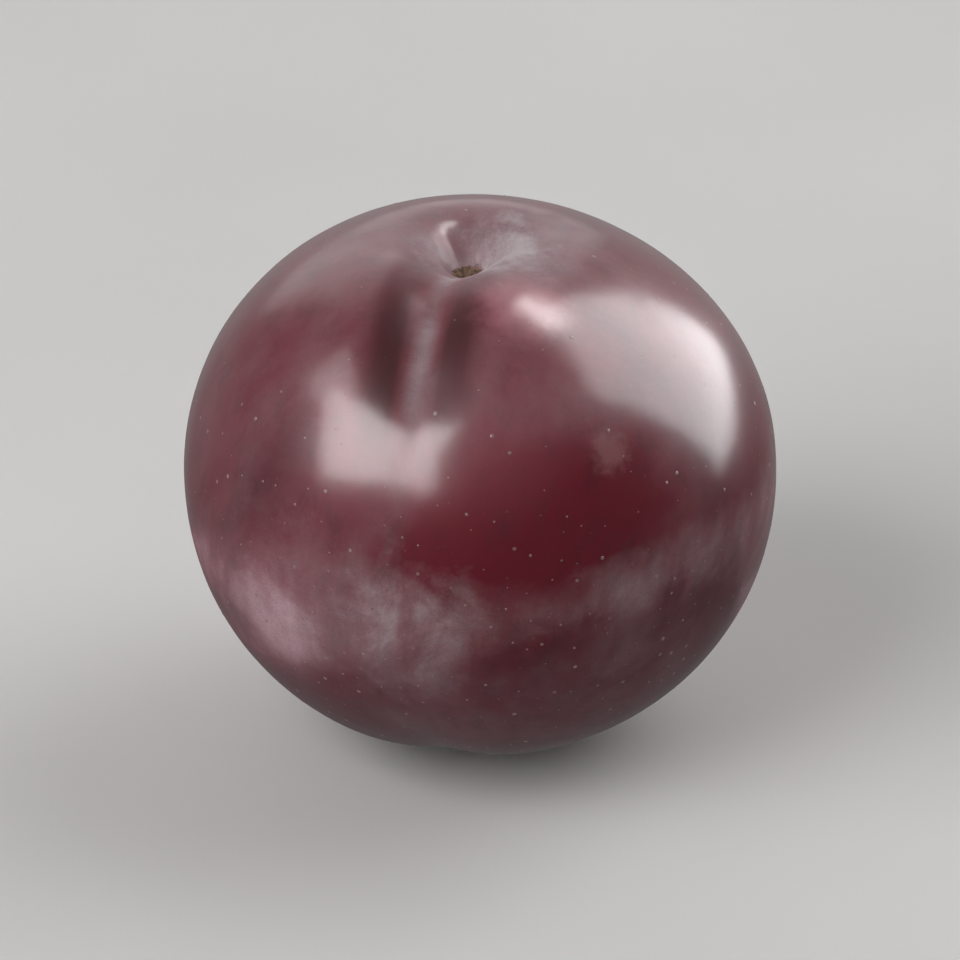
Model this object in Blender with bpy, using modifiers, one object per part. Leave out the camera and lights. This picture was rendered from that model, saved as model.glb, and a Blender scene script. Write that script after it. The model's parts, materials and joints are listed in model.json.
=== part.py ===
# A round dark plum, picked and without its stem, standing on a small flat spot at its foot.
# Metres, +Z up. The origin is on the table, under the middle of the plum's box.

import math

import bmesh
import bpy
from mathutils import Matrix, Vector

# Driving dimensions of the fruit, measured along its own axes
CHEEK_WIDTH = 0.0580  # cheek to cheek, across the suture
SUTURE_WIDTH = 0.0568  # from the suture to the back
HEIGHT = 0.0530  # from the stylar end to the shoulders round the stem cavity
EQUATOR_SHARE = 0.52  # the widest level, as a share of the height above the stylar end

# Stem cavity: a wide soft funnel with a narrow throat, and the corky scar that the stem left
FUNNEL_DEPTH = 0.0036
FUNNEL_RADIUS = 0.0062
THROAT_DEPTH = 0.0026
THROAT_RADIUS = 0.0027
SCAR_RADIUS = 0.0015
SCAR_EDGE = 0.0003  # how wide the scar's rounded edge is
SCAR_HEIGHT = 0.0003

# Suture: a broad shallow valley with a fine crease along its bottom
VALLEY_HALF_WIDTH = 0.0051
CREASE_HALF_WIDTH = 0.0019
VALLEY_SHARE = 0.74  # share of the suture's depth that the valley takes
DEPTH_AT_LIP = 0.0016  # where it notches the lip of the stem cavity
DEPTH_ON_CHEEK = 0.00026
DEPTH_AT_FOOT = 0.0008
CHEEK_LEVEL = 0.48  # levels are shares of half the height, up or down from the widest one
END_LEVEL = 0.86  # the suture has its full depth beyond this level, at the lip and at the foot
SUTURE_START = 0.0012  # distance in front of the axis where the suture begins
SUTURE_FULL = 0.0046  # and where it has its whole depth
SUTURE_WANDER_DEG = 4.0  # how far it strays to each side of a straight run

# What makes it a grown thing: full shoulders, one of them higher, and slow waves in its cheeks
SQUARENESS = 2.06  # 2 would be an ellipse
SHOULDER_TILT = 0.030  # rise of the shoulder on the -X side for each unit across
SHOULDER_FOOT = -0.2  # the level where that rise begins
WAVES = (  # height as a share of the radius, waves across X, Y and Z, and phase
    (0.0070, (1.6, 0.9, 1.2), 0.4),
    (0.0055, (-0.8, 2.1, 1.5), 2.1),
    (0.0035, (2.6, -1.4, 2.2), 4.0),
)

# How it rests
LEAN_BACK_DEG = 3.5  # the stem end leans towards +Y
LEAN_SIDE_DEG = 2.8  # and towards -X
SUTURE_TURN_DEG = -18.0  # the suture faces -Y, turned this much, which is towards -X
REST_SPOT_RADIUS = 0.0048
SNAP = 0.00006  # points this close to the table are put on it

# How finely it is cut into faces
RINGS = 58
SEGMENTS = 84
RING_CROWDING = 0.42  # rings crowd towards the stem cavity
SEGMENT_CROWDING = 0.58  # segments crowd towards the suture

PLUM_COLOUR = (0.070, 0.012, 0.022, 1.0)
PLUM_ROUGHNESS = 0.28
WELD = 0.00001


def smooth_step(low, high, value):
    share = min(1.0, max(0.0, (value - low) / (high - low)))
    return share * share * (3 - 2 * share)


def bell(distance, width):
    return math.exp(-((distance / width) ** 2))


def level_of(point):
    return point.z / (HEIGHT / 2)


def clear_scene():
    for obj in list(bpy.data.objects):
        bpy.data.objects.remove(obj)


def skin_material():
    material = bpy.data.materials.new("plum_skin")
    material.use_nodes = True
    shader = material.node_tree.nodes["Principled BSDF"]
    shader.inputs["Base Color"].default_value = PLUM_COLOUR
    shader.inputs["Roughness"].default_value = PLUM_ROUGHNESS
    shader.inputs["Metallic"].default_value = 0.0
    material.diffuse_color = PLUM_COLOUR
    return material


# Height gained or lost in the stem cavity, at this distance from the axis.
def cavity_height(radius):
    height = -FUNNEL_DEPTH * bell(radius, FUNNEL_RADIUS)
    height -= THROAT_DEPTH * bell(radius, THROAT_RADIUS)
    height += SCAR_HEIGHT * (1 - smooth_step(SCAR_RADIUS - SCAR_EDGE, SCAR_RADIUS, radius))
    return height


# The outline seen from the side, from the stem axis (share 0) down the outer side to the foot (1).
def profile_point(share):
    colatitude = math.pi * (share - RING_CROWDING * math.sin(math.pi * share) / math.pi)
    sine = max(0.0, math.sin(colatitude))
    cosine = math.cos(colatitude)
    radius = sine ** (2 / SQUARENESS) * CHEEK_WIDTH / 2
    level = abs(cosine) ** (2 / SQUARENESS) * HEIGHT
    if cosine > 0:
        level = level * (1 - EQUATOR_SHARE) + cavity_height(radius)
    else:
        level *= -EQUATOR_SHARE
    return Vector((radius, 0.0, level))


# The profile turned about the stem axis, as a plain mesh.
def turned_body():
    points = [profile_point(i / RINGS) for i in range(RINGS + 1)]
    points[0].x = 0.0
    points[-1].x = 0.0
    outline = bpy.data.meshes.new("plum_outline")
    outline.from_pydata(points, [(i, i + 1) for i in range(RINGS)], [])
    turned = bpy.data.objects.new("plum_turned", outline)
    bpy.context.scene.collection.objects.link(turned)
    screw = turned.modifiers.new("turn", "SCREW")
    screw.axis = "Z"
    screw.steps = SEGMENTS
    screw.render_steps = SEGMENTS
    screw.use_merge_vertices = True
    screw.merge_threshold = WELD
    graph = bpy.context.evaluated_depsgraph_get()
    mesh = bpy.data.meshes.new_from_object(turned.evaluated_get(graph))
    bpy.data.objects.remove(turned)
    return mesh


# Moves a point round the stem axis, so that more of them lie near the suture, which is at -Y.
def crowded(point):
    radius = math.hypot(point.x, point.y)
    angle = math.atan2(point.x, -point.y)
    angle -= SEGMENT_CROWDING * math.sin(angle)
    return Vector((radius * math.sin(angle), -radius * math.cos(angle), point.z))


def suture_depth(point):
    level = level_of(point)
    depth = DEPTH_ON_CHEEK
    depth += (DEPTH_AT_LIP - DEPTH_ON_CHEEK) * smooth_step(CHEEK_LEVEL, END_LEVEL, level)
    depth += (DEPTH_AT_FOOT - DEPTH_ON_CHEEK) * smooth_step(CHEEK_LEVEL, END_LEVEL, -level)
    across = VALLEY_SHARE * bell(point.x, VALLEY_HALF_WIDTH)
    across += (1 - VALLEY_SHARE) * bell(point.x, CREASE_HALF_WIDTH)
    return depth * across * smooth_step(SUTURE_START, SUTURE_FULL, -point.y)


# The point turned about the stem axis, with the suture's slow wander.
def strayed(point):
    angle = math.radians(SUTURE_WANDER_DEG) * math.sin(math.pi * level_of(point))
    return Matrix.Rotation(angle, 3, "Z") @ point


def waviness(point):
    reach = point / (CHEEK_WIDTH / 2)
    return sum(height * math.sin(Vector(waves).dot(reach) + phase) for height, waves, phase in WAVES)


# A point of the turned body, moved to where the grown fruit has it.
def grown(point):
    point = crowded(point)
    point.y *= SUTURE_WIDTH / CHEEK_WIDTH
    point = strayed(point - point.normalized() * suture_depth(point))
    point.z -= SHOULDER_TILT * point.x * smooth_step(SHOULDER_FOOT, 1.0, level_of(point))
    return point * (1 + waviness(point))


def reach_along(bm, axis):
    values = [vertex.co[axis] for vertex in bm.verts]
    return min(values), max(values)


# Brings the body to exactly its three driving dimensions.
def fit_to_size(bm):
    scale = []
    for axis, size in enumerate((CHEEK_WIDTH, SUTURE_WIDTH, HEIGHT)):
        low, high = reach_along(bm, axis)
        scale.append(size / (high - low))
    bmesh.ops.scale(bm, vec=scale, verts=bm.verts)


# Leans the body and lowers it until the table, at Z = 0, cuts a spot of the wanted size.
def set_down(bm):
    turn = Matrix.Rotation(math.radians(SUTURE_TURN_DEG), 3, "Z")
    lean = Matrix.Rotation(math.radians(-LEAN_BACK_DEG), 3, "X")
    lean @= Matrix.Rotation(math.radians(-LEAN_SIDE_DEG), 3, "Y")
    bmesh.ops.rotate(bm, matrix=lean @ turn, verts=bm.verts)
    foot_roundness = (CHEEK_WIDTH / 2) ** 2 / (HEIGHT * EQUATOR_SHARE)  # radius of the foot
    sunk = REST_SPOT_RADIUS**2 / (2 * foot_roundness)
    lowest, _ = reach_along(bm, 2)
    bmesh.ops.translate(bm, vec=Vector((0, 0, -lowest - sunk)), verts=bm.verts)


# Cuts off what is under the table, and closes the cut with one flat face.
def cut_rest_spot(bm):
    everything = bm.verts[:] + bm.edges[:] + bm.faces[:]
    cut = bmesh.ops.bisect_plane(
        bm,
        geom=everything,
        dist=SNAP,
        plane_co=(0, 0, 0),
        plane_no=(0, 0, -1),
        clear_outer=True,
    )
    rim = [item for item in cut["geom_cut"] if isinstance(item, bmesh.types.BMEdge)]
    spot = bmesh.ops.edgeloop_fill(bm, edges=rim)["faces"][0]
    for vertex in spot.verts:
        vertex.co.z = 0.0
    bmesh.ops.recalc_face_normals(bm, faces=bm.faces)
    for face in bm.faces:
        face.smooth = face != spot
    for edge in spot.edges:
        edge.smooth = False


def centre_over_origin(bm):
    middle = [-sum(reach_along(bm, axis)) / 2 for axis in (0, 1)]
    bmesh.ops.translate(bm, vec=Vector((*middle, 0)), verts=bm.verts)


def make_plum(collection):
    mesh = turned_body()
    mesh.name = "plum"
    bm = bmesh.new()
    bm.from_mesh(mesh)
    for vertex in bm.verts:
        vertex.co = grown(vertex.co)
    fit_to_size(bm)
    set_down(bm)
    cut_rest_spot(bm)
    centre_over_origin(bm)
    bm.to_mesh(mesh)
    bm.free()
    mesh.materials.append(skin_material())
    plum = bpy.data.objects.new("plum", mesh)
    collection.objects.link(plum)


def main():
    clear_scene()
    collection = bpy.data.collections.new("Plum")
    bpy.context.scene.collection.children.link(collection)
    make_plum(collection)


main()
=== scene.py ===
import json
import math

import bmesh
import bpy
import numpy as np
from mathutils import Matrix, Quaternion, Vector, noise

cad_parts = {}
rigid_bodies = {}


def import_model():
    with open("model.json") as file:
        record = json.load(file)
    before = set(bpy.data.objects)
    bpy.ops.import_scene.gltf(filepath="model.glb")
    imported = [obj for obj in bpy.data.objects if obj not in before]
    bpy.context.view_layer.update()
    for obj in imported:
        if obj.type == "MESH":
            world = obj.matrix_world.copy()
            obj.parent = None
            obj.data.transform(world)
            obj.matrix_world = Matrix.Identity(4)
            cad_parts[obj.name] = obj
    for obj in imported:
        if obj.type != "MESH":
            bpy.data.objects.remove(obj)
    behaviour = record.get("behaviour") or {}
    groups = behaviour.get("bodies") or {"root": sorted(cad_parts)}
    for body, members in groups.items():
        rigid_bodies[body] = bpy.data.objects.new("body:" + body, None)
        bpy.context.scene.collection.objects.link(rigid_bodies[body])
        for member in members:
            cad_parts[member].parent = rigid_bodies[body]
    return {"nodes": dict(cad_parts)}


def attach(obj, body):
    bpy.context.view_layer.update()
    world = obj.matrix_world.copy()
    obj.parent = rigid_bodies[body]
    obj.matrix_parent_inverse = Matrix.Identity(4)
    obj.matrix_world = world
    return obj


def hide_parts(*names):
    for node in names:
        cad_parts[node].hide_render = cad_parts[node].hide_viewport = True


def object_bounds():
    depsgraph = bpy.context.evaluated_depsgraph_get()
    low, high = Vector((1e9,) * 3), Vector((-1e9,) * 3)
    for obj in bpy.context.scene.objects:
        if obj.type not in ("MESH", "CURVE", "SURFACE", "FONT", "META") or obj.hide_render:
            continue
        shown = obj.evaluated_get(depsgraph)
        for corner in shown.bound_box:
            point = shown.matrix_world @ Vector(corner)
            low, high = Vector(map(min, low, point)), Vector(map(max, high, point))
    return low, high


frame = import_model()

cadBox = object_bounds()  # the solid's box, before anything is added
print("frame loaded:", ", ".join(frame["nodes"]))


# The plum's form, as its solid has it: metres, on its own axes, stem cavity up and suture at -Y
fruit = {
    "cheekWidth": 0.0580,
    "sutureWidth": 0.0568,
    "height": 0.0530,
    "equatorShare": 0.52,
    "squareness": 2.06,
    "shoulderTilt": 0.030,
    "shoulderFoot": -0.2,
    "waves": [              # height, waves across X, Y and Z, and phase
        (0.0070, (1.6, 0.9, 1.2), 0.4),
        (0.0055, (-0.8, 2.1, 1.5), 2.1),
        (0.0035, (2.6, -1.4, 2.2), 4.0),
    ],
    "leanBack": 3.5,
    "leanSide": 2.8,
    "sutureTurn": -18.0,
    "restSpotRadius": 0.0048,
    "rings": 260,
    "segments": 336,
    "ringCrowding": 0.42,
    "segmentCrowding": 0.58,
}

cavity = {
    "funnelDepth": 0.0036,
    "funnelRadius": 0.0062,
    "throatDepth": 0.0026,
    "throatRadius": 0.0027,
    "scarRadius": 0.0015,
    "scarEdge": 0.0003,
    "scarHeight": 0.0003,
    "puckers": 13,          # fine folds that run down into the throat
    "puckerDepth": 0.00002,
    "puckerStray": 2.0,     # how unevenly they are spaced
    "puckerMiddle": 1.1,    # where they are deepest, how far they spread and where they end,
    "puckerSpread": 0.5,    # all in throat radii
    "puckerReach": 2.5,
}

suture = {
    "valleyHalfWidth": 0.0051,
    "creaseHalfWidth": 0.0019,
    "valleyShare": 0.74,
    "depthAtLip": 0.0016,
    "depthOnCheek": 0.00026,
    "depthAtFoot": 0.0008,
    "cheekLevel": 0.48,
    "endLevel": 0.86,
    "start": 0.0012,
    "full": 0.0046,
    "wander": 4.0,
}

relief = {
    "rippleSize": 0.0055,   # slow ripples that bend the reflections a little
    "rippleHeight": 0.00003,
    "dimpleSize": 0.0016,   # fine unevenness of the flesh under the skin
    "dimpleHeight": 0.000006,
    "corkSize": 0.0005,     # roughness of the scar
    "corkHeight": 0.00012,
    "corkReach": 1.2,       # in scar radii
    "octaves": (1.0, 2.0),  # how much each finer turn of it weakens, and how much finer it is
    "dimpleOctaves": 2,
    "corkOctaves": 3,
}


def smoothStep(low, high, value):
    share = np.clip((value - low) / (high - low), 0.0, 1.0)
    return share * share * (3 - 2 * share)


def bell(distance, width):
    return np.exp(-((distance / width) ** 2))


def cavityHeight(radius):
    height = -cavity["funnelDepth"] * bell(radius, cavity["funnelRadius"])
    height -= cavity["throatDepth"] * bell(radius, cavity["throatRadius"])
    scarInside = cavity["scarRadius"] - cavity["scarEdge"]
    return height + cavity["scarHeight"] * (1 - smoothStep(scarInside, cavity["scarRadius"], radius))


def turnedPoints():
    # Rows run from the stem axis to the foot, columns once round, closest together at the suture
    share = np.linspace(0, 1, fruit["rings"] + 1)[:, None]
    colatitude = np.pi * share - fruit["ringCrowding"] * np.sin(np.pi * share)
    power = 2 / fruit["squareness"]
    radius = np.clip(np.sin(colatitude), 0, None) ** power * fruit["cheekWidth"] / 2
    level = np.abs(np.cos(colatitude)) ** power * fruit["height"]
    above = level * (1 - fruit["equatorShare"]) + cavityHeight(radius)
    level = np.where(np.cos(colatitude) > 0, above, -level * fruit["equatorShare"])
    angle = np.linspace(0, 2 * np.pi, fruit["segments"], endpoint=False)[None, :] - np.pi
    angle = angle - fruit["segmentCrowding"] * np.sin(angle)
    depth = -radius * np.cos(angle) * fruit["sutureWidth"] / fruit["cheekWidth"]
    return np.stack([radius * np.sin(angle), depth, level + 0 * angle], axis=-1)


def sutureDepth(points):
    across, front = np.abs(points[..., 0]), -points[..., 1]
    level = points[..., 2] / (fruit["height"] / 2)
    ends = (suture["cheekLevel"], suture["endLevel"])
    depth = suture["depthOnCheek"]
    depth = depth + (suture["depthAtLip"] - suture["depthOnCheek"]) * smoothStep(*ends, level)
    depth = depth + (suture["depthAtFoot"] - suture["depthOnCheek"]) * smoothStep(*ends, -level)
    form = suture["valleyShare"] * bell(across, suture["valleyHalfWidth"])
    form = form + (1 - suture["valleyShare"]) * bell(across, suture["creaseHalfWidth"])
    return depth * form * smoothStep(suture["start"], suture["full"], front)


def grownPoints(points):
    lengths = np.linalg.norm(points, axis=-1, keepdims=True)
    points = points - points / lengths * sutureDepth(points)[..., None]
    turn = np.radians(suture["wander"]) * np.sin(np.pi * points[..., 2] / (fruit["height"] / 2))
    x = points[..., 0] * np.cos(turn) - points[..., 1] * np.sin(turn)
    y = points[..., 0] * np.sin(turn) + points[..., 1] * np.cos(turn)
    z = points[..., 2]
    rise = smoothStep(fruit["shoulderFoot"], 1.0, z / (fruit["height"] / 2))
    points = np.stack([x, y, z - fruit["shoulderTilt"] * x * rise], axis=-1)
    reach = points / (fruit["cheekWidth"] / 2)
    swell = 0.0
    for height, waves, phase in fruit["waves"]:
        swell = swell + height * np.sin(reach @ np.array(waves) + phase)
    return points * (1 + swell[..., None])


def fineHeight(place):
    # Relief too fine for the solid: ripples, unevenness, folds round the throat, and cork on the scar
    point = Vector(place)
    height = relief["rippleHeight"] * noise.noise(point / relief["rippleSize"])
    dimples = noise.fractal(point / relief["dimpleSize"], *relief["octaves"], relief["dimpleOctaves"])
    height += relief["dimpleHeight"] * dimples
    radius = math.hypot(point.x, point.y)
    if point.z > 0 and radius < cavity["puckerReach"] * cavity["throatRadius"]:
        angle = math.atan2(point.y, point.x)
        fold = math.sin(cavity["puckers"] * angle + cavity["puckerStray"] * math.sin(2 * angle + 1.0))
        offMiddle = radius / cavity["throatRadius"] - cavity["puckerMiddle"]
        fold *= math.exp(-((offMiddle / cavity["puckerSpread"]) ** 2))
        height += cavity["puckerDepth"] * fold
    if point.z > 0 and radius < relief["corkReach"] * cavity["scarRadius"]:
        cork = noise.fractal(point / relief["corkSize"], *relief["octaves"], relief["corkOctaves"])
        height += relief["corkHeight"] * cork
    return height


def setDown(points):
    # Brings the points to the fruit's size, leans it, and flattens the spot that it rests on
    wanted = np.array([fruit["cheekWidth"], fruit["sutureWidth"], fruit["height"]])
    points = points * wanted / (points.max(axis=0) - points.min(axis=0))
    lean = Matrix.Rotation(math.radians(-fruit["leanBack"]), 3, "X")
    lean = lean @ Matrix.Rotation(math.radians(-fruit["leanSide"]), 3, "Y")
    lean = lean @ Matrix.Rotation(math.radians(fruit["sutureTurn"]), 3, "Z")
    points = points @ np.array(lean).T
    footRoundness = (fruit["cheekWidth"] / 2) ** 2 / (fruit["height"] * fruit["equatorShare"])
    points[:, 2] -= points[:, 2].min() + fruit["restSpotRadius"] ** 2 / (2 * footRoundness)
    points[:, 2] = np.clip(points[:, 2], 0, None)
    points[:, :2] -= (points[:, :2].max(axis=0) + points[:, :2].min(axis=0)) / 2
    return points


def closedGrid(rows, columns):
    # Faces over a top pole, rows of points, and a bottom pole, turned outwards
    faces = []
    last = rows * columns + 1
    for i in range(columns):
        j = (i + 1) % columns
        faces.append((0, 1 + i, 1 + j))
        for row in range(rows - 1):
            up, down = 1 + row * columns, 1 + (row + 1) * columns
            faces.append((up + i, down + i, down + j, up + j))
        low = 1 + (rows - 1) * columns
        faces.append((last, low + j, low + i))
    return faces


def makePlumBody(material):
    grid = turnedPoints()
    inside = grid[1:-1].reshape(-1, 3)
    plain = np.vstack([grid[0, :1], inside, grid[-1, :1]])
    grown = grownPoints(plain)
    outwards = grown / np.linalg.norm(grown, axis=1, keepdims=True)
    grown += outwards * np.array([fineHeight(place) for place in plain])[:, None]
    points = setDown(grown)
    mesh = bpy.data.meshes.new("plumBody")
    mesh.from_pydata(points, [], closedGrid(fruit["rings"] - 1, fruit["segments"]))
    mesh.shade_smooth()
    place = mesh.attributes.new("fruitPlace", "FLOAT_VECTOR", "POINT")
    place.data.foreach_set("vector", (plain / (fruit["cheekWidth"] / 2)).astype(np.float32).ravel())
    mesh.materials.append(material)
    body = bpy.data.objects.new("plumBody", mesh)
    bpy.context.scene.collection.objects.link(body)
    return body


# Short ways to put nodes into a tree. A value may be a number, a colour or another node's output
def addNode(tree, kind, values, **settings):
    made = tree.nodes.new(kind)
    for name, value in settings.items():
        setattr(made, name, value)
    for name, value in values.items():
        if isinstance(value, bpy.types.NodeSocket):
            tree.links.new(value, made.inputs[name])
        else:
            made.inputs[name].default_value = value
    return made


def calc(tree, operation, first, second=0.0):
    return addNode(tree, "ShaderNodeMath", {0: first, 1: second}, operation=operation).outputs[0]


def multiply(tree, *factors):
    product = factors[0]
    for factor in factors[1:]:
        product = calc(tree, "MULTIPLY", product, factor)
    return product


def add(tree, *terms):
    total = terms[0]
    for term in terms[1:]:
        total = calc(tree, "ADD", total, term)
    return total


def fade(tree, value, start, end, low=0.0, high=1.0):
    values = {"Value": value, "From Min": start, "From Max": end, "To Min": low, "To Max": high}
    return addNode(tree, "ShaderNodeMapRange", values, interpolation_type="SMOOTHSTEP").outputs[0]


def cloud(tree, place, scale, detail=2.0, roughness=0.5, distortion=0.0):
    values = {
        "Vector": place, "Scale": scale, "Detail": detail, "Roughness": roughness,
        "Distortion": distortion}
    return addNode(tree, "ShaderNodeTexNoise", values).outputs[0]


def swing(tree, clouds, height):
    # Clouds brought to swing about nil, up and down by half this height
    return multiply(tree, calc(tree, "SUBTRACT", clouds, 0.5), height)


def paint(tree, factor, under, over, blend="MIX"):
    values = {0: factor, 6: under, 7: over}
    return addNode(tree, "ShaderNodeMix", values, data_type="RGBA", blend_type=blend).outputs[2]


def vectorMath(tree, operation, first, second):
    return addNode(tree, "ShaderNodeVectorMath", {0: first, 1: second}, operation=operation).outputs


def newMaterial(name):
    material = bpy.data.materials.new(name)
    material.use_nodes = True
    return material, material.node_tree, material.node_tree.nodes["Principled BSDF"]


bloomLook = {
    # Clouds: turns per half width of the fruit, detail, roughness and distortion
    "patchCloud": (2.1, 6.0, 0.62, 0.5),
    "streakCloud": (5.0, 4.0, 0.6, 0.3),
    "grainCloud": (210.0, 2.0, 0.6),
    "patchEdge": (0.34, 0.66),
    "patchThinnest": 0.30,
    "streakEdge": (0.30, 0.62),
    "streakThinnest": 0.55,
    "streakLevels": 0.22,   # below 1, so that the streaks run down the cheeks
    "grainEdge": (0.25, 0.75),
    "grainRange": (0.78, 1.14),
}


def makeBloomGroup():
    # The waxy bloom: cloudy patches, rubbed off in streaks down the cheeks, with a powdery grain
    tree = bpy.data.node_groups.new("waxyBloom", "ShaderNodeTree")
    face = tree.interface
    face.new_socket("Place", in_out="INPUT", socket_type="NodeSocketVector")
    face.new_socket("Amount", in_out="INPUT", socket_type="NodeSocketFloat")
    face.new_socket("Mask", in_out="OUTPUT", socket_type="NodeSocketFloat")
    given = tree.nodes.new("NodeGroupInput").outputs
    place = given["Place"]
    patches = cloud(tree, place, *bloomLook["patchCloud"])
    patches = fade(tree, patches, *bloomLook["patchEdge"], bloomLook["patchThinnest"], 1.0)
    lengthwise = vectorMath(tree, "MULTIPLY", place, (1.0, 1.0, bloomLook["streakLevels"]))[0]
    streaks = cloud(tree, lengthwise, *bloomLook["streakCloud"])
    streaks = fade(tree, streaks, *bloomLook["streakEdge"], bloomLook["streakThinnest"], 1.0)
    grain = cloud(tree, place, *bloomLook["grainCloud"])
    grain = fade(tree, grain, *bloomLook["grainEdge"], *bloomLook["grainRange"])
    mask = multiply(tree, patches, streaks, grain, given["Amount"])
    out = tree.nodes.new("NodeGroupOutput")
    tree.links.new(mask, out.inputs["Mask"])
    return tree


skinLook = {
    "wine": (0.145, 0.0230, 0.0350, 1.0),
    "nearBlack": (0.040, 0.0085, 0.0150, 1.0),
    "crimson": (0.122, 0.0060, 0.0150, 1.0),
    # painted shade on the walls of the suture's valley
    "sutureShade": (0.050, 0.0140, 0.0160, 1.0),
    "crease": (0.130, 0.048, 0.052, 1.0),
    "fleck": (0.20, 0.095, 0.070, 1.0),
    "russet": (0.27, 0.125, 0.125, 1.0),
    "bloom": (0.43, 0.360, 0.380, 1.0),
    # bloom made pinker on the lower left flank, partly a painted reflection
    "bloomAndReflectionPink": (0.46, 0.310, 0.345, 1.0),
    "cork": (0.21, 0.115, 0.052, 1.0),
    "corkDark": (0.045, 0.022, 0.013, 1.0),
    # blush pink, also painted as a pink highlight
    "blushAndGlint": (0.46, 0.170, 0.205, 1.0),
    # Clouds: turns per half width of the fruit, detail, roughness and distortion
    "broadCloud": (1.15, 4.0, 0.55, 0.35),
    "mottleCloud": (11.0, 6.0, 0.66, 0.25),
    "rubCloud": (22.0, 5.0, 0.7),
    "blushAndGlintCloud": (9.0, 4.0, 0.6),
    "wispCloud": (4.5, 4.0, 0.6, 0.4),
    "corkCloud": (60.0, 5.0, 0.7),
    "poreCloud": (95.0, 3.0, 0.6),
    # Patches: the middle, where they end and where they are full, raggedness and strength. Places
    # and widths on the skin are in half widths of the fruit, here and below
    "rubPatch": ((0.62, -0.63, 0.40), 0.095, 0.025, 0.10, 0.52),    # a small healed rub
    "blushAndGlintPatch": ((0.30, -0.36, 0.78), 0.21, 0.02, 0.16, 0.62),    # pink on the shoulder, also a painted pink highlight under the skylight's glint
    "flushPatch": ((0.25, -0.76, 0.50), 0.40, 0.05, 0.0, 0.15),     # fainter, beside the suture
    "cavityPatch": ((0.10, -0.01, 0.0), 0.38, 0.04, 0.30, 1.0),     # bloom, seen from above
    "waxPatch": ((0.07, -0.97, -0.17), 0.36, 0.06, 0.5, 0.75),      # bloom low in front
    "flankPatch": ((-0.27, -0.94, -0.09), 0.38, 0.08, 0.4, 0.60),   # and to the left of that
    # Ground colour. A pair of levels or widths says where something starts and where it is full
    "redCheek": (0.45, -0.89, 0.07),    # where on the fruit the sun has reddened it most
    "redEdge": (0.79, 0.97),
    "redRaggedness": 0.4,
    "darkEdge": (0.46, 0.72),
    "darkStrength": 0.8,
    "darkOffCheek": 0.35,
    "mottleEdge": (0.46, 0.74),
    "mottleStrength": 0.42,
    "mottleLevels": 0.55,               # below 1, so that the mottling runs down the cheeks
    "frontEdge": (-0.02, -0.22),        # the suture's side of the fruit
    "topEdge": (0.2, 0.5),
    "bandInside": (0.030, 0.095),       # the bands' four sides: next to the suture's bottom,
    "bandOutside": (0.24, 0.12),        # away from it, down the fruit and up it
    "bandBelow": (0.30, 0.60),
    "bandAbove": (0.90, 0.74),
    "sutureShadeStrength": 0.9,
    "creaseWidth": 0.055,
    "creaseBelow": (0.36, 0.72),
    "creaseLowStrength": 0.10,
    "creaseStrength": 0.45,
    # Specks
    "speckTurns": 26.0,
    "speckShare": (0.35, 1.0),
    "speckSize": 0.13,
    "speckEdge": (0.02, -0.05),
    "speckLevels": (0.95, -0.3),
    "speckStrength": (0.10, 0.42),
    # Scar
    "scarEdge": (0.062, 0.050),
    "scarRaggedness": 0.03,
    "corkEdge": (0.35, 0.65),
    # Where the bloom lies
    "shoulderBelow": (0.50, 0.85),
    "shoulderFront": (-0.42, 0.05),
    # The lower left flank: thicker, pinker bloom there, partly a painted reflection
    "flankSide": (-0.12, -0.40),
    "flankAbove": (0.19, -0.06),
    # Less bloom towards the right side, as painted shade
    "rightShadeSide": (0.80, 1.00),
    "beltEdge": (0.09, -0.12),
    "beltTilt": -0.06,
    "beltRaggedness": (0.3, 0.25),      # from the broad clouds and from the wisps
    # Painted shade low in front, towards the foot: the skin darker and the bloom thinner
    "footShadeEdge": (-0.16, -0.42),
    "footShadeTilt": -0.24,
    "footShadeRaggedness": 0.3,
    "footShadeFront": (-0.30, 0.20),
    "footShadeLift": 0.6,                  # keeps the back out of the painted shade
    # How thick it is
    "bloomOverall": 0.24,
    "bloomLeast": 0.02,
    "bloomInCavity": 1.70,
    "bloomInSuture": 0.68,
    "bloomOnShoulder": 0.24,
    "bloomAndReflectionOnFlank": 0.15,
    "bloomInBelt": 0.68,                # a belt below the middle
    "bloomBelowBelt": 0.08,             # what is left of it near the foot in front, thinned there as painted shade
    "bloomOffCheek": 0.32,
    "bloomOffSutureShade": 0.26,
    "bloomOffForRightShade": 0.28,
    "bloomOnScar": 0.15,
    "footShadeDarkness": 0.40,
    "bloomCover": (0.62, 0.90),         # how well it hides the skin, on the cheeks and in the cavity
    # Gloss
    "glossEdge": (0.05, 0.60),
    "coatEdge": (0.10, 0.65),
    "coatBandOutside": (0.24, 0.14),
    "coatBandBelow": (0.60, 0.72),
    "shinyRoughness": 0.36,
    "waxyRoughness": 0.60,
    "scarRoughness": 0.85,
    "coatShiny": 0.88,
    "coatWaxy": 0.06,
    "coatOnCrease": 0.35,
    "coatOnBands": 0.08,
    "coatRoughness": 0.20,
    "coatIndex": 1.36,                  # a thin wax, so the skin keeps its depth of colour
    "underShine": 0.10,
    "poreDepth": 0.5,
    "corkDepth": 6.0,
    "bumpStrength": 0.35,
    "bumpDistance": 0.00003,
}


def patch(tree, place, form, clouds):
    # A soft-edged patch of the skin, with an edge that clouds make ragged
    middle, outer, inner, raggedness, strength = form
    distance = vectorMath(tree, "DISTANCE", place, middle)["Value"]
    distance = add(tree, distance, swing(tree, clouds, raggedness))
    return fade(tree, distance, outer, inner, 0.0, strength)


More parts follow.
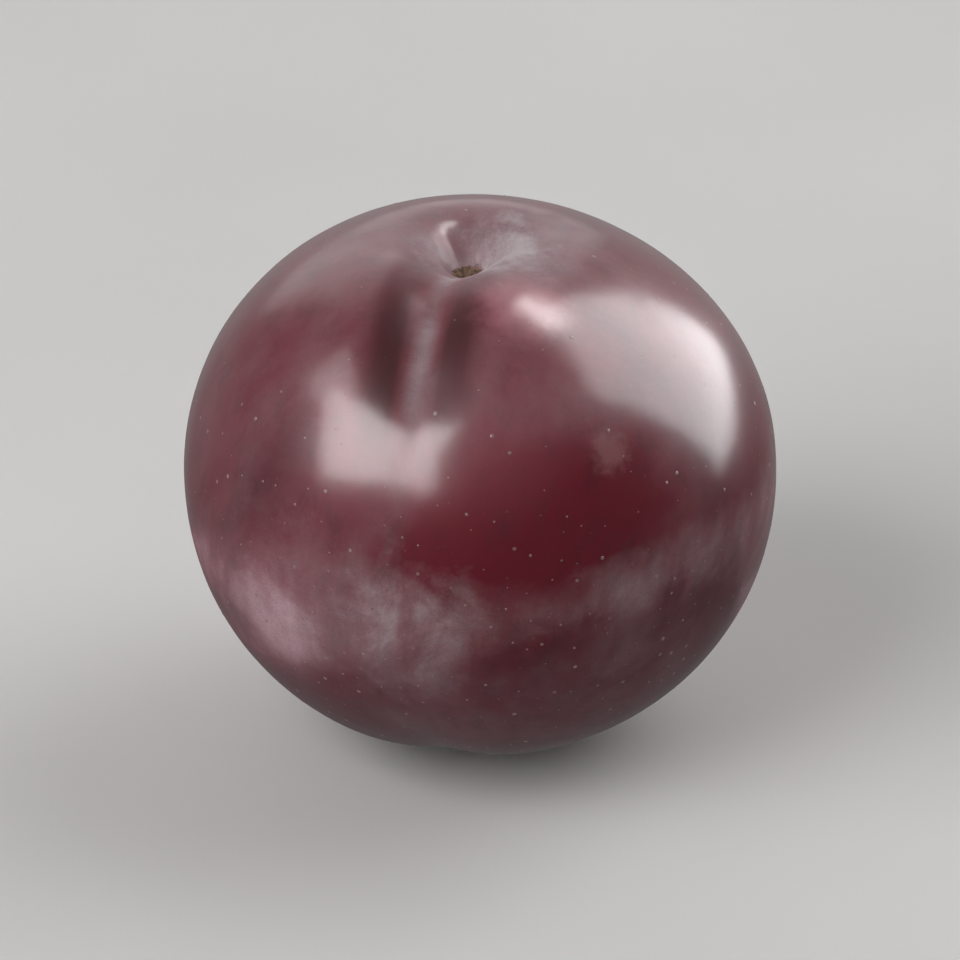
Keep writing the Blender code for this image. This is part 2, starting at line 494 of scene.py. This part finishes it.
def groundColour(tree, place, across, front, z, broad, red):
    # Near black over wine, crimson where the sun reached, and darker mottling
    dark = calc(tree, "SUBTRACT", broad, multiply(tree, red, skinLook["darkOffCheek"]))
    dark = fade(tree, dark, *skinLook["darkEdge"], 0.0, skinLook["darkStrength"])
    colour = paint(tree, dark, skinLook["wine"], skinLook["nearBlack"])
    colour = paint(tree, red, colour, skinLook["crimson"])
    lengthwise = vectorMath(tree, "MULTIPLY", place, (1.0, 1.0, skinLook["mottleLevels"]))[0]
    mottle = cloud(tree, lengthwise, *skinLook["mottleCloud"])
    mottle = fade(tree, mottle, *skinLook["mottleEdge"], 0.0, skinLook["mottleStrength"])
    colour = paint(tree, mottle, colour, skinLook["nearBlack"])

    # Painted shade: dark bands on the walls of the suture's valley near the stem, and the paler line of
    # the crease between them
    sides = (fade(tree, across, *skinLook["bandInside"]), fade(tree, across, *skinLook["bandOutside"]))
    ends = (fade(tree, z, *skinLook["bandBelow"]), fade(tree, z, *skinLook["bandAbove"]))
    sutureShade = multiply(tree, *sides, front, *ends)
    colour = paint(tree, multiply(tree, sutureShade, skinLook["sutureShadeStrength"]), colour, skinLook["sutureShade"])
    line = fade(tree, across, skinLook["creaseWidth"], 0.0)
    upwards = fade(tree, z, *skinLook["creaseBelow"], skinLook["creaseLowStrength"], 1.0)
    line = multiply(tree, line, front, upwards)
    colour = paint(tree, multiply(tree, line, skinLook["creaseStrength"]), colour, skinLook["crease"])
    return colour, sutureShade, line


def speckMask(tree, place, z):
    # Pale specks in the skin, most of them towards the foot
    values = {"Vector": place, "Scale": skinLook["speckTurns"], "Randomness": 1.0}
    cells = addNode(tree, "ShaderNodeTexVoronoi", values).outputs
    pick = addNode(tree, "ShaderNodeSeparateColor", {0: cells["Color"]}).outputs[0]
    size = fade(tree, pick, *skinLook["speckShare"], 0.0, skinLook["speckSize"])
    speck = fade(tree, calc(tree, "SUBTRACT", cells["Distance"], size), *skinLook["speckEdge"])
    return multiply(tree, speck, fade(tree, z, *skinLook["speckLevels"], *skinLook["speckStrength"]))


def makeSkinMaterial(bloomGroup):
    material, tree, shader = newMaterial("plumSkin")
    place = addNode(tree, "ShaderNodeAttribute", {}, attribute_name="fruitPlace").outputs["Vector"]
    x, y, z = addNode(tree, "ShaderNodeSeparateXYZ", {0: place}).outputs
    across = calc(tree, "ABSOLUTE", x)
    front = fade(tree, y, *skinLook["frontEdge"])
    flat = vectorMath(tree, "MULTIPLY", place, (1.0, 1.0, 0.0))[0]
    fromAxis = vectorMath(tree, "LENGTH", flat, (0.0, 0.0, 0.0))["Value"]
    top = fade(tree, z, *skinLook["topEdge"])
    broad = cloud(tree, place, *skinLook["broadCloud"])
    wisps = cloud(tree, place, *skinLook["wispCloud"])
    cheek = vectorMath(tree, "DOT_PRODUCT", place, skinLook["redCheek"])["Value"]
    cheek = add(tree, cheek, swing(tree, broad, skinLook["redRaggedness"]))
    red = fade(tree, cheek, *skinLook["redEdge"])
    colour, sutureShade, line = groundColour(tree, place, across, front, z, broad, red)
    colour = paint(tree, speckMask(tree, place, z), colour, skinLook["fleck"])

    # The healed rub, the blush, which is also a painted pink highlight under the skylight's glint, and the
    # flush
    rub = patch(tree, place, skinLook["rubPatch"], cloud(tree, place, *skinLook["rubCloud"]))
    colour = paint(tree, rub, colour, skinLook["russet"])
    blushAndGlint = patch(tree, place, skinLook["blushAndGlintPatch"], cloud(tree, place, *skinLook["blushAndGlintCloud"]))
    colour = paint(tree, blushAndGlint, colour, skinLook["blushAndGlint"])
    colour = paint(tree, patch(tree, place, skinLook["flushPatch"], wisps), colour, skinLook["blushAndGlint"])

    # The corky scar at the bottom of the stem cavity
    cork = cloud(tree, place, *skinLook["corkCloud"])
    scarEdge = add(tree, fromAxis, swing(tree, cork, skinLook["scarRaggedness"]))
    scar = multiply(tree, fade(tree, scarEdge, *skinLook["scarEdge"]), top)
    corkShare = fade(tree, cork, *skinLook["corkEdge"])
    corkColour = paint(tree, corkShare, skinLook["corkDark"], skinLook["cork"])
    colour = paint(tree, scar, colour, corkColour)

    # Waxy bloom: thick in the cavity and in a belt below the middle, thin on the red cheek, and
    # thinned near the foot in front, where the skin is also painted darker: painted shade
    hollow = multiply(tree, patch(tree, flat, skinLook["cavityPatch"], wisps), top)
    shoulder = fade(tree, z, *skinLook["shoulderBelow"])
    shoulder = multiply(tree, shoulder, fade(tree, y, *skinLook["shoulderFront"]))
    # Bloom on the lower left flank, thicker and pinker: partly a painted reflection
    leftFlankBloomAndReflection = fade(tree, x, *skinLook["flankSide"])
    leftFlankBloomAndReflection = multiply(tree, leftFlankBloomAndReflection, fade(tree, z, *skinLook["flankAbove"]))
    # Painted shade low in front, towards the foot
    footShade = add(
        tree,
        z,
        multiply(tree, x, skinLook["footShadeTilt"]),
        swing(tree, wisps, skinLook["footShadeRaggedness"]),
        fade(tree, y, *skinLook["footShadeFront"], 0.0, skinLook["footShadeLift"]))
    footShade = fade(tree, footShade, *skinLook["footShadeEdge"])
    paintedFootShade = multiply(tree, footShade, skinLook["footShadeDarkness"])
    colour = paint(tree, paintedFootShade, colour, skinLook["nearBlack"])
    byBroad, byWisps = skinLook["beltRaggedness"]
    belt = add(
        tree,
        z,
        multiply(tree, x, skinLook["beltTilt"]),
        swing(tree, broad, byBroad),
        swing(tree, wisps, byWisps))
    beltStrength = fade(tree, footShade, 0.0, 1.0, skinLook["bloomInBelt"], skinLook["bloomBelowBelt"])
    belt = multiply(tree, fade(tree, belt, *skinLook["beltEdge"]), beltStrength)
    amount = add(
        tree,
        skinLook["bloomOverall"],
        multiply(tree, hollow, skinLook["bloomInCavity"]),
        multiply(tree, shoulder, skinLook["bloomOnShoulder"]),
        multiply(tree, line, skinLook["bloomInSuture"]),
        belt,
        patch(tree, place, skinLook["flankPatch"], wisps),
        multiply(tree, leftFlankBloomAndReflection, skinLook["bloomAndReflectionOnFlank"]),
        patch(tree, place, skinLook["waxPatch"], wisps),
        multiply(tree, red, -skinLook["bloomOffCheek"]),
        # less bloom on the suture's painted shade bands
        multiply(tree, sutureShade, -skinLook["bloomOffSutureShade"]),
        # less bloom towards the right side, as painted shade
        fade(tree, x, *skinLook["rightShadeSide"], 0.0, -skinLook["bloomOffForRightShade"]))
    amount = calc(tree, "MAXIMUM", amount, skinLook["bloomLeast"])
    amount = multiply(tree, amount, fade(tree, scar, 0.0, 1.0, 1.0, skinLook["bloomOnScar"]))
    bloom = addNode(tree, "ShaderNodeGroup", {}, node_tree=bloomGroup)
    tree.links.new(place, bloom.inputs["Place"])
    tree.links.new(amount, bloom.inputs["Amount"])
    bloom = bloom.outputs["Mask"]
    # pinker bloom on the lower left flank: partly a painted reflection
    bloomColour = paint(tree, leftFlankBloomAndReflection, skinLook["bloom"], skinLook["bloomAndReflectionPink"])
    cover = multiply(tree, bloom, fade(tree, hollow, 0.0, 1.0, *skinLook["bloomCover"]))
    tree.links.new(paint(tree, cover, colour, bloomColour), shader.inputs["Base Color"])

    # Gloss: shiny where the bloom is gone, waxy where it is thick, dry on the scar
    rough = fade(
        tree, bloom, *skinLook["glossEdge"], skinLook["shinyRoughness"], skinLook["waxyRoughness"])
    rough = calc(tree, "MAXIMUM", rough, multiply(tree, scar, skinLook["scarRoughness"]))
    tree.links.new(rough, shader.inputs["Roughness"])
    bands = fade(tree, across, *skinLook["coatBandOutside"])
    bands = multiply(tree, bands, front, fade(tree, z, *skinLook["coatBandBelow"]))
    coat = multiply(
        tree,
        fade(tree, bloom, *skinLook["coatEdge"], skinLook["coatShiny"], skinLook["coatWaxy"]),
        fade(tree, scar, 0.0, 0.5, 1.0, 0.0),
        fade(tree, line, 0.0, 0.8, 1.0, skinLook["coatOnCrease"]),
        fade(tree, bands, 0.0, 1.0, 1.0, skinLook["coatOnBands"]))
    tree.links.new(coat, shader.inputs["Coat Weight"])
    shader.inputs["Coat Roughness"].default_value = skinLook["coatRoughness"]
    shader.inputs["Coat IOR"].default_value = skinLook["coatIndex"]
    shader.inputs["Specular IOR Level"].default_value = skinLook["underShine"]

    # Pores and wax grain
    pores = cloud(tree, place, *skinLook["poreCloud"])
    corkGrain = multiply(tree, cork, scar, skinLook["corkDepth"])
    height = add(tree, multiply(tree, pores, skinLook["poreDepth"]), corkGrain)
    values = {"Strength": skinLook["bumpStrength"], "Distance": skinLook["bumpDistance"], "Height": height}
    tree.links.new(addNode(tree, "ShaderNodeBump", values).outputs[0], shader.inputs["Normal"])
    return material


lenticelLook = {
    "Spacing": 0.0015,
    "Density": 300000.0,
    "Size": 0.00012,
    "Seed": 11,
    "flatness": 0.16,
    "smallest": 0.55,
    "spread": 1.3,
    "smallOnes": 3.0,           # the higher, the more of them are small
    "sizeSeed": 5,
    "levels": (0.85, -0.4),     # few above the first, most below the second, in half widths
    "fewest": 0.10,
    "lowest": 0.0006,           # none nearer to the table than this
    "sides": 10,
    "rings": 6,
    "dark": (0.120, 0.042, 0.042, 1.0),
    "pale": (0.225, 0.110, 0.092, 1.0),
    "grainTurns": 1400.0,       # per metre
    "grainEdge": (0.3, 0.7),
    "roughness": (0.42, 0.6),
    "bloom": 0.3,
}


def makeLenticelMaterial(bloomGroup):
    material, tree, shader = newMaterial("plumLenticels")
    place = addNode(tree, "ShaderNodeTexCoord", {}).outputs["Object"]
    grain = cloud(tree, place, lenticelLook["grainTurns"])
    paleShare = fade(tree, grain, *lenticelLook["grainEdge"])
    colour = paint(tree, paleShare, lenticelLook["dark"], lenticelLook["pale"])
    bloom = addNode(tree, "ShaderNodeGroup", {}, node_tree=bloomGroup)
    perHalfWidth = 2 / fruit["cheekWidth"]
    scaled = vectorMath(tree, "MULTIPLY", place, (perHalfWidth,) * 3)[0]
    tree.links.new(scaled, bloom.inputs["Place"])
    bloom.inputs["Amount"].default_value = lenticelLook["bloom"]
    colour = paint(tree, bloom.outputs["Mask"], colour, skinLook["bloom"])
    tree.links.new(colour, shader.inputs["Base Color"])
    rough = fade(tree, grain, *lenticelLook["grainEdge"], *lenticelLook["roughness"])
    tree.links.new(rough, shader.inputs["Roughness"])
    return material


def lenticelTree(material):
    # Small flat warts scattered over the skin: few round the stem cavity, none on the resting spot
    tree = bpy.data.node_groups.new("scatterLenticels", "GeometryNodeTree")
    face = tree.interface
    face.new_socket("Geometry", in_out="INPUT", socket_type="NodeSocketGeometry")
    for name in ("Spacing", "Density", "Size"):
        face.new_socket(name, in_out="INPUT", socket_type="NodeSocketFloat")
    face.new_socket("Seed", in_out="INPUT", socket_type="NodeSocketInt")
    face.new_socket("Geometry", in_out="OUTPUT", socket_type="NodeSocketGeometry")
    given = tree.nodes.new("NodeGroupInput").outputs
    values = {"Name": "fruitPlace"}
    place = addNode(tree, "GeometryNodeInputNamedAttribute", values, data_type="FLOAT_VECTOR")
    level = addNode(tree, "ShaderNodeSeparateXYZ", {0: place.outputs[0]}).outputs["Z"]
    share = fade(tree, level, *lenticelLook["levels"], lenticelLook["fewest"], 1.0)
    height = addNode(tree, "GeometryNodeInputPosition", {}).outputs[0]
    height = addNode(tree, "ShaderNodeSeparateXYZ", {0: height}).outputs["Z"]
    share = multiply(tree, share, calc(tree, "GREATER_THAN", height, lenticelLook["lowest"]))
    scatter = addNode(tree, "GeometryNodeDistributePointsOnFaces", {
        "Mesh": given["Geometry"], "Distance Min": given["Spacing"], "Density Max": given["Density"],
        "Density Factor": share, "Seed": given["Seed"]}, distribute_method="POISSON")
    dot = addNode(tree, "GeometryNodeMeshUVSphere", {
        "Segments": lenticelLook["sides"], "Rings": lenticelLook["rings"], "Radius": 1.0})
    flat = addNode(tree, "GeometryNodeTransform", {
        "Geometry": dot.outputs["Mesh"], "Scale": (1.0, 1.0, lenticelLook["flatness"])})
    values = {2: 0.0, 3: 1.0, "Seed": lenticelLook["sizeSeed"]}
    vary = addNode(tree, "FunctionNodeRandomValue", values, data_type="FLOAT").outputs[1]
    vary = calc(tree, "POWER", vary, lenticelLook["smallOnes"])
    vary = multiply(tree, vary, lenticelLook["spread"])
    size = multiply(tree, add(tree, vary, lenticelLook["smallest"]), given["Size"])
    placed = addNode(tree, "GeometryNodeInstanceOnPoints", {
        "Points": scatter.outputs["Points"], "Instance": flat.outputs[0],
        "Rotation": scatter.outputs["Rotation"], "Scale": size})
    real = addNode(tree, "GeometryNodeRealizeInstances", {0: placed.outputs[0]})
    smooth = addNode(tree, "GeometryNodeSetShadeSmooth", {0: real.outputs[0]})
    finished = addNode(tree, "GeometryNodeSetMaterial", {0: smooth.outputs[0], "Material": material})
    out = tree.nodes.new("NodeGroupOutput")
    tree.links.new(finished.outputs[0], out.inputs[0])
    return tree


def makeLenticels(body, material):
    scattered = bpy.data.objects.new("scatteredLenticels", body.data)
    bpy.context.scene.collection.objects.link(scattered)
    modifier = scattered.modifiers.new("scatter", "NODES")
    modifier.node_group = lenticelTree(material)
    for item in modifier.node_group.interface.items_tree:
        if item.in_out == "INPUT" and item.name in lenticelLook:
            modifier[item.identifier] = lenticelLook[item.name]
    graph = bpy.context.evaluated_depsgraph_get()
    mesh = bpy.data.meshes.new_from_object(scattered.evaluated_get(graph))
    mesh.name = "plumLenticels"
    bpy.data.objects.remove(scattered)
    lenticels = bpy.data.objects.new("plumLenticels", mesh)
    bpy.context.scene.collection.objects.link(lenticels)
    return lenticels


studio = {
    "floorRadius": 1.1,
    "floorColour": (0.67, 0.665, 0.655, 1.0),
    "floorCloud": (9.0, 3.0),   # turns per metre and detail
    "floorEdge": (0.3, 0.7),
    "floorTones": (0.97, 1.03),
    "floorRoughness": 0.75,
    "floorShine": 0.05,
    "roomDark": 0.12,           # the room's light, from low in front to high behind
    "roomBright": 0.40,
    "roomSlope": (0.90, 0.35),  # how much it grows backwards and upwards
    "roomEdge": (0.40, 0.95),
    "roomColour": (1.0, 0.99, 0.975, 1.0),
    "backdrop": 0.80,           # what the camera sees beyond the floor
    "cameraRise": 29.0,
    "cameraDistance": 0.90,
    "frameWidth": 0.094,        # how much of the scene the picture takes in, at the plum
    "coreShare": 0.88,          # the middle share of a soft box, across and up
    "layerGap": 0.01,           # the lamps of one box stand this far behind each other
}

# Soft boxes, as their reflections in the skin ask: degrees round from -Y towards +X, degrees up,
# degrees turned, metres away, width and height. Then how bright each is, how much is added to it in
# its reflection, and how much more over the middle share of that
softBoxes = {
    "frontWindow": {
        "round": -51.5, "up": 35.5, "turned": 17.0, "away": 1.15, "wide": 0.92, "high": 0.82,
        "glow": 4.0, "shine": 5.2, "core": 6.5},
    "sideWindow": {
        "round": 115.0, "up": 31.0, "turned": 14.0, "away": 1.15, "wide": 1.05, "high": 1.56,
        "glow": 1.8, "shine": 3.6, "core": 4.2},
    "leftWall": {
        "round": -90.0, "up": 45.0, "turned": 0.0, "away": 1.20, "wide": 0.40, "high": 0.52,
        "glow": 0.60, "shine": 2.3, "core": 2.3},
    "skylight": {
        "round": 147.0, "up": 64.0, "turned": 0.0, "away": 1.15, "wide": 0.44, "high": 0.18,
        "glow": 0.30, "shine": 10.0, "core": 10.0},
    "farWall": {
        "round": 191.0, "up": 32.0, "turned": 0.0, "away": 1.30, "wide": 1.30, "high": 1.30,
        "glow": 0.34, "shine": 0.36, "core": 0.42},
}


def directionTo(roundDegrees, upDegrees):
    a, e = math.radians(roundDegrees), math.radians(upDegrees)
    return Vector((math.sin(a) * math.cos(e), -math.cos(a) * math.cos(e), math.sin(e)))


def makeFloor():
    mesh = bpy.data.meshes.new("floor")
    bm = bmesh.new()
    bmesh.ops.create_circle(bm, cap_ends=True, segments=96, radius=studio["floorRadius"])
    bm.to_mesh(mesh)
    bm.free()
    floor = bpy.data.objects.new("floor", mesh)
    bpy.context.scene.collection.objects.link(floor)
    material, tree, shader = newMaterial("paleFloor")
    place = addNode(tree, "ShaderNodeTexCoord", {}).outputs["Object"]
    tone = cloud(tree, place, *studio["floorCloud"])
    tone = fade(tree, tone, *studio["floorEdge"], *studio["floorTones"])
    tone = addNode(tree, "ShaderNodeCombineColor", {0: tone, 1: tone, 2: tone}).outputs[0]
    colour = paint(tree, 1.0, studio["floorColour"], tone, "MULTIPLY")
    tree.links.new(colour, shader.inputs["Base Color"])
    shader.inputs["Roughness"].default_value = studio["floorRoughness"]
    shader.inputs["Specular IOR Level"].default_value = studio["floorShine"]
    mesh.materials.append(material)
    floor.visible_glossy = False    # so the skin mirrors the dim room there and keeps its depth


def makeSoftBox(name, box, middle):
    # One lamp lights everything, and two more behind it are seen only as reflections in the skin
    towards = directionTo(box["round"], box["up"])
    turned = Quaternion((0.0, 0.0, 1.0), math.radians(box["turned"]))
    layers = (("glow", 1.0), ("shine", 1.0), ("core", studio["coreShare"]))
    for layer, (strength, share) in enumerate(layers):
        light = bpy.data.lights.new(name + strength.capitalize(), "AREA")
        light.shape = "RECTANGLE"
        light.size, light.size_y = box["wide"] * share, box["high"] * share
        light.energy = box[strength] * math.pi * light.size * light.size_y
        lamp = bpy.data.objects.new(light.name, light)
        bpy.context.scene.collection.objects.link(lamp)
        lamp.location = middle + towards * (box["away"] + layer * studio["layerGap"])
        lamp.rotation_euler = (towards.to_track_quat("Z", "Y") @ turned).to_euler()
        lamp.visible_camera = False
        lamp.visible_diffuse = strength == "glow"


def makeRoom():
    world = bpy.data.worlds.new("room")
    world.use_nodes = True
    tree = world.node_tree
    towards = addNode(tree, "ShaderNodeTexCoord", {}).outputs["Generated"]
    _, y, z = addNode(tree, "ShaderNodeSeparateXYZ", {0: towards}).outputs
    backwards, upwards = studio["roomSlope"]
    slope = add(tree, multiply(tree, y, backwards), multiply(tree, z, upwards))
    room = fade(tree, slope, *studio["roomEdge"], studio["roomDark"], studio["roomBright"])
    seen = addNode(tree, "ShaderNodeLightPath", {}).outputs["Is Camera Ray"]
    bright = fade(tree, seen, 0.0, 1.0, room, studio["backdrop"])
    tree.links.new(bright, tree.nodes["Background"].inputs["Strength"])
    tree.nodes["Background"].inputs["Color"].default_value = studio["roomColour"]
    bpy.context.scene.world = world
    bpy.context.scene.view_settings.view_transform = "Standard"


def makeCamera(middle):
    data = bpy.data.cameras.new("camera")
    data.lens = data.sensor_width * studio["cameraDistance"] / studio["frameWidth"]
    camera = bpy.data.objects.new("camera", data)
    bpy.context.scene.collection.objects.link(camera)
    back = directionTo(0.0, studio["cameraRise"])
    camera.location = middle + back * studio["cameraDistance"]
    camera.rotation_euler = back.to_track_quat("Z", "Y").to_euler()
    data.clip_start = 0.01
    bpy.context.scene.camera = camera


middle = (cadBox[0] + cadBox[1]) / 2
makeFloor()
for name, box in softBoxes.items():
    makeSoftBox(name, box, middle)
makeRoom()
makeCamera(middle)
print("floor, lights and camera made")

waxyBloom = makeBloomGroup()
plumBody = makePlumBody(makeSkinMaterial(waxyBloom))
print("plum body:", len(plumBody.data.polygons), "faces")
plumLenticels = makeLenticels(plumBody, makeLenticelMaterial(waxyBloom))
print("lenticels:", len(plumLenticels.data.polygons), "faces")

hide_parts("plum")
for piece in (plumBody, plumLenticels):
    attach(piece, "root")
